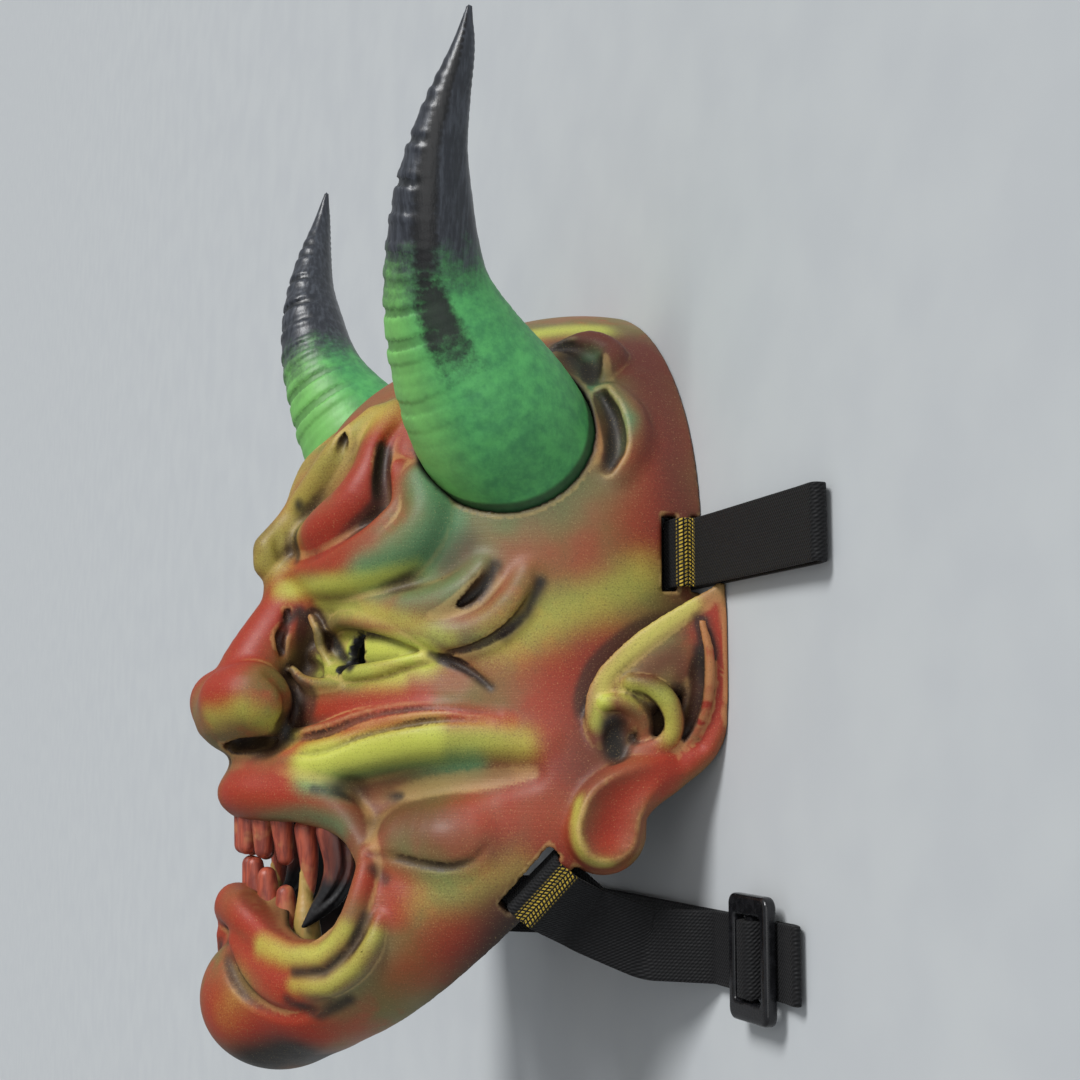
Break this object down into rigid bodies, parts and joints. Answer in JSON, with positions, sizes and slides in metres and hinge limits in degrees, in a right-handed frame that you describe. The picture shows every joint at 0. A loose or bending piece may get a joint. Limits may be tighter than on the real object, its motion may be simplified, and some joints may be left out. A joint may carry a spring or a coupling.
{
  "type": "oni mask",
  "caption": "Horned oni face mask lying face up: open-backed printed shell with bared teeth, eye slits and ears, ringed horns, and flat elastic head straps with a slide adjuster.",
  "frame": {"origin": "middle of the flat back rim at the top of the forehead, on the face's mirror plane", "axes": "+X to the wearer's left, +Y from the chin to the crown, +Z out of the face; the mask lies face up"},
  "size_m": [0.2621, 0.3051, 0.133],
  "materials": {
    "painted_skin": "airbrushed red and orange skin with yellow-green raised edges and dark recesses, over printed plastic",
    "painted_horn": "satin green at the root, fading to near black at the tip",
    "elastic": "black woven elastic webbing",
    "adjuster_plastic": "moulded black plastic"
  },
  "bodies": {
    "root": {"mask_shell": "painted_skin", "horn_left": "painted_horn", "horn_right": "painted_horn", "strap_upper": "elastic", "strap_lower": "elastic", "strap_adjuster": "adjuster_plastic"}
  },
  "joints": []
}
